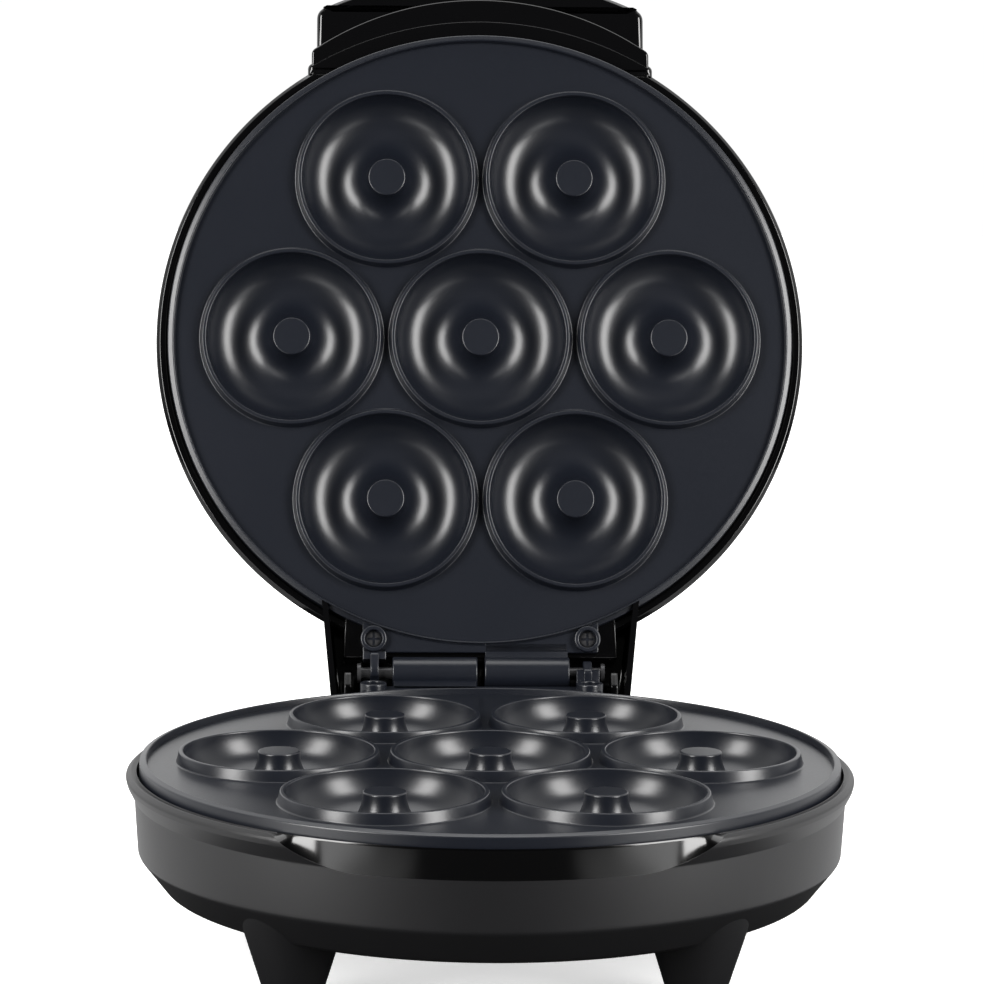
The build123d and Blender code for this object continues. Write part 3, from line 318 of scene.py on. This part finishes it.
bore_radius, wall_radius, flange_radius = 106.8, 107.5, 110.2
hinge_back, hinge_high = 114.8, 1.74
flange_top_line = bent([(bore_radius, -4.9), (108.7, -4.7), (flange_radius, -6.0), (109.7, -8.0),
                        (wall_radius, -12.4), (107.37, -14.6)], [0, 0.6, 1.2, 1.0, 0.8, 0])
ease = np.linspace(0, 1, 24)[:, None]
start, end, start_way, end_way = np.array([(38.0, -13.8), (63.0, -4.7), (50.0, 0.0), (9.0, 0.8)])
rise = ((2 * ease**3 - 3 * ease**2 + 1) * start + (ease**3 - 2 * ease**2 + ease) * start_way
        + (3 * ease**2 - 2 * ease**3) * end + (ease**3 - ease**2) * end_way)


def housing_rim(angles):
    """Flange of the housing with the finger scoop: on each side of the front a level cut that rises
    in an S. Above the cut a ruled face runs from a small round at the bore out to the cut's edge."""
    across = bore_radius * np.cos(angles)
    cut = np.where(np.sin(angles) < 0, np.interp(np.abs(across), rise[:, 0], rise[:, 1]), -4.7)
    outer = flange_top_line[flange_top_line[:, 1].argmax():]
    lengths = np.concatenate([[0], np.cumsum(np.linalg.norm(np.diff(outer, axis=0), axis=1))])
    begin = np.interp(-cut, -outer[:, 1], lengths)
    share = np.unique(np.concatenate([lengths / lengths[-1], np.linspace(0, 1, 24)]))[:, None]
    along = begin + share * (lengths[-1] - begin)
    radius = np.interp(along, lengths, outer[:, 0])
    height = np.interp(along, lengths, outer[:, 1])
    lip = np.array([(106.8, -4.9), (106.86, -4.79), (106.98, -4.75), (107.10, -4.79), (107.16, -4.92)])
    lip_radius = np.broadcast_to(lip[:, :1], (len(lip), len(angles)))
    lip_height = np.broadcast_to(lip[:, 1:], (len(lip), len(angles)))
    lip_end = lip[-1]
    fall = np.array([0.06, 0.2, 0.4, 0.6, 0.8, 0.97])[:, None]
    face_radius = lip_end[0] + fall * (radius[:1] - lip_end[0])
    face_height = lip_end[1] + fall * (cut - lip_end[1])
    depth = np.clip((-4.8 - cut) / 0.6, 0, 1)
    polish = np.vstack([lip_radius * 0 + depth, face_radius * 0 + depth, radius * 0])
    radius = np.vstack([lip_radius, face_radius, radius])
    height = np.vstack([lip_height, face_height, height])
    return np.stack([radius * np.cos(angles), radius * np.sin(angles), height], -1), polish


plastic = Finish("base_plastic", Roughness=0.4)
spot = plastic.node("ShaderNodeTexCoord", {}, {}, "Object")
gloss = plastic.node("ShaderNodeAttribute", {"attribute_name": "mark"}, {}, "Fac")
fine = plastic.node("ShaderNodeTexNoise", {}, {"Vector": spot, "Scale": 2400.0, "Detail": 2.0})
broad = plastic.node("ShaderNodeTexNoise", {}, {"Vector": spot, "Scale": 35.0, "Detail": 3.0})
satin = 0.36 + 0.05 * broad + 0.05 * fine
moulded = plastic.node("ShaderNodeMix", {"data_type": "RGBA"}, {
    "Factor": 0.5 * fine + 0.5 * broad, 6: (0.0045, 0.0045, 0.005, 1), 7: (0.008, 0.008, 0.009, 1)}, 2)
polished = plastic.node("ShaderNodeMix", {"data_type": "RGBA"}, {
    "Factor": gloss, 6: moulded, 7: (0.0006, 0.0006, 0.0007, 1)}, 2)
base_plastic = plastic.drive(
    Base_Color=polished, Roughness=satin * (1 - gloss) + gloss * 0.14,
    Normal=plastic.node("ShaderNodeBump", {}, {
        "Strength": 0.10, "Distance": 0.00005, "Height": fine * (1 - gloss)}))

front = np.arange(-132, -47.75, 0.5)
rest_of_turn = np.arange(-46, 227, 2.0)
round_base = np.radians(np.concatenate([front, rest_of_turn]))
housing = Shape()
rim, rim_mark = housing_rim(round_base)
below = bent([(107.37, -14.6), (106.5, -29.0), (99.0, -38.7), (96.0, -40.0), (93.4, -40.0), (93.4, -38.0),
              (82.9, -38.0), (82.9, -35.8), (96.6, -35.8), (104.3, -28.4), (105.3, -14.0), (103.8, -11.0),
              (103.8, -9.0), (bore_radius, -9.0), (bore_radius, -4.9)],
             [0, 2.5, 2.5, 0.5, 0.3, 0, 0.5, 0.5, 1.5, 1.5, 0, 0, 0, 0, 0])
housing.grid(rim, ring=True, mark=rim_mark)
housing.grid(turned(below, round_base), ring=True)
leg_spots = [(-58.0, -66.0), (58.0, -66.0), (-40.0, 80.0), (40.0, 80.0)]
leg = bent([(0, -31.0), (16.78, -30.5), (7.9, -58.8), (6.25, -58.8), (6.25, -57.4), (0, -57.4)],
           [0, 0, 0.8, 0.2, 0, 0])
for spot_xy in leg_spots:
    housing.grid(turned(leg, circle(64), spot_xy), ring=True)
seat_arc = np.radians(np.linspace(-115.6, -64.4, 25))
seat_front = np.stack([105.0 * np.cos(seat_arc), -105.0 * np.sin(seat_arc)], 1)
seat = np.vstack([seat_front, [(46.0, 108.6), (44.4, 110.4), (-44.4, 110.4), (-46.0, 108.6)]])
slab(housing, seat, -18.4, -4.4, 0.6)
gusset = np.array([(104.5, -32.0), (104.5, -17.0), (110.4, -17.0), (110.4, -18.6)])
cheek = bent([(107.3, -5.6), (107.3, -1.2), (111.3, 2.74), (117.3, 2.74), (117.3, -2.2), (110.4, -8.4)],
             [0.6, 1.2, 1.6, 2.0, 2.0, 0.6], closed=True)
for low, high in [(-46.0, -34.0), (34.0, 46.0)]:
    slab(housing, gusset, low, high, 0.4, axes=(2, 0, 1))
for low, high in [(-45.4, -43.1), (43.1, 45.4)]:
    slab(housing, cheek, low, high, 0.4, axes=(2, 0, 1), mark=1.0)
boss_line = [(0, 101.5), (8.7, 101.5), (8.7, 107.5), (5.45, 107.5), (5.45, 102), (0, 102)]
boss = turned(bent(boss_line, [0, 0, 0.7, 0.2, 0, 0]), circle(48))
housing.grid(boss[:, :, [0, 2, 1]] + [0, 0, -27.0], ring=True)
housing.piece("base_housing", "base", base_plastic, "base_plastic", in_base, ["base_shell"])


# Baking plates. Each is an aluminium casting with seven ring-shaped bowls under a dark non-stick
# coating. The same casting is used twice, so the long hinge barrel is left below and right above.
open_angle = 107.0


def in_lid(points):
    """Turned over on to the lower half, then swung up about the hinge by the open angle."""
    pivot = parting_level + hinge_high
    over = points * np.array([-1.0, 1.0, -1.0]) + np.array([0.0, 0.0, pivot + hinge_high])
    angle = np.radians(-open_angle)
    y, z = over[:, 1] - hinge_back, over[:, 2] - pivot
    return np.stack([over[:, 0], hinge_back - axis_forward + y * np.cos(angle) - z * np.sin(angle),
                     pivot + y * np.sin(angle) + z * np.cos(angle)], 1)


def arc_line(centre, radius, start, stop, count):
    """Points of a circle's arc between two angles in degrees."""
    angle = np.radians(np.linspace(start, stop, count))
    return np.stack([centre[0] + radius * np.cos(angle), centre[1] + radius * np.sin(angle)], 1)


web_radius, pitch_mm, web_level, web_under = 103.5, 64.0, -3.1, -5.7
bowl_line = np.vstack([
    [(0, 0), (2.0, 0), (4.5, 0), (5.5, 0)],
    bent([(5.6, 0), (6.4, 0), (6.4, -0.8)], [0, 0.5, 0])[1:-1],
    arc_line((17.4, -1.0), 11.0, 180, 270, 17),
    arc_line((17.4, -0.5), 11.5, 270, 360, 17)[1:],
    bent([(28.9, -0.4), (28.9, 0.3), (30.2, 0.3), (31.0, web_level), (32.2, web_level)],
         [0, 0.4, 0.4, 0.5, 0], steps=4)[1:-1],
])
under_line = np.vstack([
    [(0, -2.8)], arc_line((17.4, -1.0), 13.4, 188, 270, 7),
    arc_line((17.4, -0.5), 13.9, 270, 335, 7)[1:], [(31.0, web_under)]])
full_turn = np.arange(0, 360, 3.0)
corner_turn = np.degrees(np.arctan2(web_radius * 0.5, web_radius * np.sqrt(0.75) - pitch_mm))
outer_turn = full_turn.copy()
outer_turn[full_turn == 63] = corner_turn
outer_turn[full_turn == 297] = 360 - corner_turn


def cell_reach(angles, outer):
    """How far the web of one bowl goes: to the halfway lines to its neighbours, or to the rim circle."""
    way = np.stack([np.cos(angles), np.sin(angles)], 1)
    reach = np.full(len(angles), 1e9)
    sides = np.radians([180, 120, 240] if outer else [0, 60, 120, 180, 240, 300])
    for side in sides:
        towards = way @ np.array([np.cos(side), np.sin(side)])
        reach = np.where(towards > 1e-6, np.minimum(reach, 32.0 / np.maximum(towards, 1e-6)), reach)
    if outer:
        rim_reach = -pitch_mm * way[:, 0] + np.sqrt(web_radius**2 - (pitch_mm * way[:, 1]) ** 2)
        reach = np.minimum(reach, rim_reach)
    return reach


def casting():
    """Seven polar grids, one for each bowl, share their web borders; the rim is a section carried
    along the outer border. The hinge castings stand on the back edge."""
    shape = Shape()
    border = []
    for number in range(7):
        outer = number > 0
        heading = np.radians(60.0 * (number - 1)) if outer else 0.0
        middle = pitch_mm * np.array([np.cos(heading), np.sin(heading)]) * outer
        angles = np.radians(outer_turn if outer else full_turn)
        reach = cell_reach(angles, outer)
        share = np.array([0.15, 0.5, 1.0])[:, None]
        for line, level in [(bowl_line, web_level), (under_line, web_under)]:
            outwards = line[-1, 0] + share * (reach - line[-1, 0])
            radius = np.vstack([np.repeat(line[:, :1], len(angles), 1), outwards])
            height = np.vstack([np.repeat(line[:, 1:], len(angles), 1), np.full((3, len(angles)), level)])
            x = middle[0] + radius * np.cos(angles + heading)
            y = middle[1] + radius * np.sin(angles + heading)
            shape.grid(np.stack([x, y, height], -1), ring=True)
        if outer:
            edge = np.stack([x[-1], y[-1]], 1)
            border.append(edge[np.abs(np.hypot(edge[:, 0], edge[:, 1]) - web_radius) < 1e-6])
    border = np.vstack(border)
    around = np.unique(np.round(np.arctan2(border[:, 1], border[:, 0]), 9))
    rim_line = bent([(web_radius, web_level), (103.9, -1.0), (106.0, -1.7), (106.0, -9.0),
                     (103.6, -9.0), (103.6, web_under), (web_radius, web_under)],
                    [0, 0.4, 0.5, 0.3, 0.3, 0, 0], steps=4)
    shape.grid(turned(rim_line, around), ring=True)
    return hinge_castings(shape)


def hinge_castings(shape):
    """Tab with two screw collars, the long barrel on its neck, and the narrow lug with its ear."""
    across = np.linspace(-39.5, 39.5, 41)
    tab = np.vstack([np.stack([across, np.sqrt(104.8**2 - across**2)], 1),
                     bent([(39.5, 104.0), (39.5, 107.5), (-39.5, 107.5), (-39.5, 104.0)],
                          [0, 0.8, 0.8, 0])[1:-1]])
    slab(shape, tab, -4.4, -1.2, 0.35)
    collar = bent([(0, -4.4), (4.4, -4.4), (4.4, 0.9), (2.95, 0.9), (2.95, -1.1), (0, -1.1)],
                  [0, 0, 0.5, 0.35, 0, 0])
    for x in (-35.8, 35.8):
        shape.grid(turned(collar, circle(40), (x, 103.0)), ring=True)
    barrel = bent([(0, -29.5), (5.4, -29.5), (5.4, -1.2), (0, -1.2)], [0, 0.5, 0.5, 0])
    rolled = turned(barrel, circle(56))[:, :, [2, 0, 1]]
    shape.grid(rolled + [0, hinge_back, hinge_high], ring=True)
    neck = np.array([(104.5, -4.4), (104.5, -1.2), (107.5, -1.2), (110.2, 0.74), (hinge_back, hinge_high),
                     (hinge_back, -3.66), (110.4, -4.4)])
    slab(shape, neck, -29.2, -1.5, 0.3, axes=(2, 0, 1))
    lug = np.array([(106.5, -4.4), (106.5, -1.2), (107.9, -1.2), (108.2, 4.0), (110.3, 4.0),
                    (110.6, -4.4)])
    slab(shape, lug, 31.6, 39.4, 0.4, axes=(2, 0, 1))
    ear = bent([(107.9, -3.4), (107.9, 4.0), (hinge_back, 6.6), (119.7, hinge_high), (hinge_back, -3.4)],
               [0.5, 1.5, 3.5, 4.0, 3.0], closed=True)
    slab(shape, ear, 34.0, 36.9, 0.4, axes=(2, 0, 1))
    return shape


coating = Finish("plate_coating", Base_Color=(0.03, 0.032, 0.038, 1), Roughness=0.4, Metallic=0.0)
spot = coating.node("ShaderNodeTexCoord", {}, {}, "Object")
speck = coating.node("ShaderNodeTexNoise", {}, {"Vector": spot, "Scale": 1500.0, "Detail": 3.0})
cloud = coating.node("ShaderNodeTexNoise", {}, {"Vector": spot, "Scale": 18.0, "Detail": 3.0})
tone = coating.node("ShaderNodeMix", {"data_type": "RGBA"}, {
    "Factor": speck * 0.6 + cloud * 0.4, 6: (0.0040, 0.0050, 0.0078, 1), 7: (0.0070, 0.0084, 0.0128, 1)}, 2)
plate_coating = coating.drive(
    Base_Color=tone, Roughness=0.25 + 0.06 * speck + 0.04 * cloud,
    Normal=coating.node("ShaderNodeBump", {}, {"Strength": 0.2, "Distance": 0.00003, "Height": speck}))
for name, body, place, node_name in [("lower_baking_plate", "base", in_base, "lower_plate"),
                                     ("upper_baking_plate", "lid", in_lid, "upper_plate")]:
    casting().piece(name, body, plate_coating, "plate_coating", place, [node_name])


# Lid housing. A domed moulding of gloss black plastic with the same flange as the base, and a hollow
# tail at the back that hides the hinge when the lid is shut.
flange_line = [(103.8, -11.0), (103.8, -9.0), (bore_radius, -9.0), (bore_radius, -4.9), (108.7, -4.7),
               (flange_radius, -6.0), (109.7, -8.0), (wall_radius, -12.4)]
dome = bent(flange_line + [(106.5, -27.0), (87.5, -38.0), (0, -43.5), (0, -41.3), (85.3, -35.8),
                           (104.3, -26.1), (105.3, -14.0)],
            [0, 0, 0, 0.2, 0.6, 1.2, 1.0, 0.6, 13, 34, 0, 0, 31.8, 10.8, 0], closed=True, steps=10)
enamel = Finish("lid_plastic", Base_Color=(0.0015, 0.0015, 0.0017, 1), Roughness=0.08)
spot = enamel.node("ShaderNodeTexCoord", {}, {}, "Object")
ripple = enamel.node("ShaderNodeTexNoise", {}, {"Vector": spot, "Scale": 90.0, "Detail": 2.0})
dust = enamel.node("ShaderNodeTexNoise", {}, {"Vector": spot, "Scale": 900.0, "Detail": 3.0})
lid_plastic = enamel.drive(
    Roughness=0.06 + 0.05 * ripple + 0.04 * dust,
    Normal=enamel.node("ShaderNodeBump", {}, {"Strength": 0.06, "Distance": 0.0001, "Height": ripple}))
lid = Shape()
lid.grid(turned(dome, circle(300)), ring=True, loop=True)


def tail_surface(half, half_end, back, hem, top, round_back, round_side, count=17):
    """Rear box open below. Its plan is a front arc, two tapering sides and a back; towards the top
    the back moves forward on a quarter circle, and the sides last turn in by their own small one."""
    side = np.linspace(0, 1, 14)
    plan = np.vstack([np.stack([np.full(14, 1.0), side], 1),
                      np.stack([np.linspace(1, -1, 41)[1:-1], np.ones(39)], 1),
                      np.stack([np.full(14, -1.0), side[::-1]], 1),
                      np.stack([np.linspace(-1, 1, 41)[1:-1], np.zeros(39)], 1)])
    turn = np.linspace(0, np.pi / 2, count)
    level = np.concatenate([[hem, hem * 0.6 + top * 0.4], top + round_back * (1 - np.sin(turn))])
    rear = np.concatenate([[back, back], back - round_back * (1 - np.cos(turn))])
    depth = np.clip((round_side - (level - top)) / round_side, 0, 1)
    inset = round_side * (1 - np.sqrt(1 - depth**2))
    width = half + (half_end - half) * plan[:, 1] - inset[:, None]
    x = plan[:, 0] * width
    front = np.sqrt(np.maximum(104.5**2 - x**2, 0))
    y = front + plan[:, 1] * (rear[:, None] - inset[:, None] * (plan[:, 1] > 0.99) - front)
    return np.stack([x, y, np.broadcast_to(level[:, None], x.shape)], -1)


tail_outside = tail_surface(53.2, 49.0, 132.3, 0.14, -19.26, 9.0, 1.2)
tail_inside = tail_surface(51.2, 47.0, 130.3, 0.14, -17.26, 7.0, 0.8)
lid.grid(tail_outside, ring=True).cap(tail_outside[-1])
lid.grid(tail_inside[::-1], ring=True).cap(tail_inside[-1])
lid.grid(np.stack([tail_inside[0], tail_outside[0]]), ring=True)
seat_behind = np.vstack([seat_front, [(46.0, 109.0), (-46.0, 109.0)]])
slab(lid, seat_behind, -18.4, -4.4, 0.6)
lid.piece("lid_housing", "lid", lid_plastic, "lid_plastic", in_lid, ["lid_shell"])


# Handle. A gloss black grip with rounded sides on the front of the lid, moulded with a root of two
# steps that follow the lid's wall. Two screws hold it from inside.
def bow(half, apex, radius, back, corner, count=49):
    """Plan with straight sides and a front that is part of a circle, drawn once round."""
    middle = apex + radius
    spread = np.degrees(np.arcsin(half / radius))
    front = arc_line((0, middle), radius, -90 - spread, -90 + spread, count)
    line = bent(np.vstack([[(-half, back)], front[[0]], front[[1]]]), [0, corner, 0])[:-1]
    end = bent(np.vstack([front[[-2]], front[[-1]], [(half, back)]]), [0, corner, 0])[1:]
    keep = front[(front[:, 0] > line[-1, 0] + 0.3) & (front[:, 0] < end[0, 0] - 0.3)]
    return np.vstack([line, keep, end])


handle = Shape()
slab(handle, bow(56.3, -128.8, 127.0, -92.0, 4.0), -23.0, -5.6, 2.1, steps=6)
slab(handle, bow(58.0, -119.6, 100.0, -92.0, 2.5), -24.0, -4.6, 0.8, steps=4)
slab(handle, bow(59.3, -112.7, 112.7, -92.0, 2.0), -24.4, -4.4, 2.0, steps=6)
handle.piece("lid_handle", "lid", lid_plastic, "lid_plastic", in_lid, ["handle"])


# Every part that keeps its own shape gets the finish of its slot: zinc plated and blackened screws,
# element sheath, bright sheet, rubber, moulded and glass parts.
def grained(name, dark, light, scale, rough, rough_swing, bump, metal):
    """A finish whose colour and roughness follow two sizes of noise, with a fine bump."""
    finish = Finish(name, Metallic=metal)
    where = finish.node("ShaderNodeTexCoord", {}, {}, "Object")
    small = finish.node("ShaderNodeTexNoise", {}, {"Vector": where, "Scale": scale, "Detail": 4.0})
    large = finish.node("ShaderNodeTexNoise", {}, {"Vector": where, "Scale": scale / 25, "Detail": 3.0})
    mixed = 0.5 * small + 0.5 * large
    colour = finish.node("ShaderNodeMix", {"data_type": "RGBA"}, {
        "Factor": mixed, 6: (*dark, 1), 7: (*light, 1)}, 2)
    return finish.drive(Base_Color=colour, Roughness=rough + rough_swing * mixed, Normal=finish.node(
        "ShaderNodeBump", {}, {"Strength": bump, "Distance": 0.00005, "Height": small}))


finishes = {"base_plastic": base_plastic, "lid_plastic": lid_plastic, "plate_coating": plate_coating}
for name, dark, light, scale, rough, rough_swing, bump, metal in [
    ("base_plate_paint", (0.010, 0.010, 0.010), (0.018, 0.018, 0.018), 900, 0.42, 0.15, 0.3, 0.0),
    ("rubber", (0.012, 0.012, 0.012), (0.02, 0.02, 0.02), 700, 0.75, 0.15, 0.2, 0.0),
    ("element_steel", (0.2, 0.18, 0.16), (0.42, 0.39, 0.36), 400, 0.35, 0.2, 0.1, 1.0),
    ("reflector_sheet", (0.62, 0.62, 0.63), (0.8, 0.8, 0.81), 500, 0.2, 0.2, 0.1, 1.0),
    ("steel_fasteners", (0.5, 0.5, 0.49), (0.68, 0.68, 0.66), 900, 0.25, 0.2, 0.1, 1.0),
    ("dark_screws", (0.03, 0.03, 0.032), (0.06, 0.06, 0.063), 900, 0.28, 0.15, 0.1, 0.6),
    ("ceramic", (0.62, 0.57, 0.48), (0.76, 0.71, 0.62), 600, 0.5, 0.2, 0.1, 0.0),
    ("fuse_sleeve", (0.62, 0.6, 0.52), (0.8, 0.78, 0.7), 1200, 0.5, 0.2, 0.4, 0.0),
    ("terminal_plastic", (0.7, 0.7, 0.66), (0.82, 0.82, 0.78), 500, 0.4, 0.15, 0.1, 0.0),
    ("brass", (0.62, 0.46, 0.2), (0.8, 0.63, 0.33), 700, 0.22, 0.15, 0.1, 1.0),
    ("power_lens", (0.5, 0.01, 0.008), (0.62, 0.02, 0.015), 400, 0.12, 0.08, 0.05, 0.0),
    ("ready_lens", (0.01, 0.32, 0.04), (0.02, 0.42, 0.06), 400, 0.12, 0.08, 0.05, 0.0),
    ("lamp_glass", (0.85, 0.8, 0.76), (0.92, 0.88, 0.85), 300, 0.05, 0.05, 0.05, 0.0),
]:
    finishes[name] = grained(name, dark, light, scale, rough, rough_swing, bump, metal)
record_slots = {part["node"]: part["material_slot"] for part in frame["record"]["subparts"]}
for node_name, node in frame["nodes"].items():
    node.data.materials.clear()
    node.data.materials.append(finishes[record_slots[node_name]])
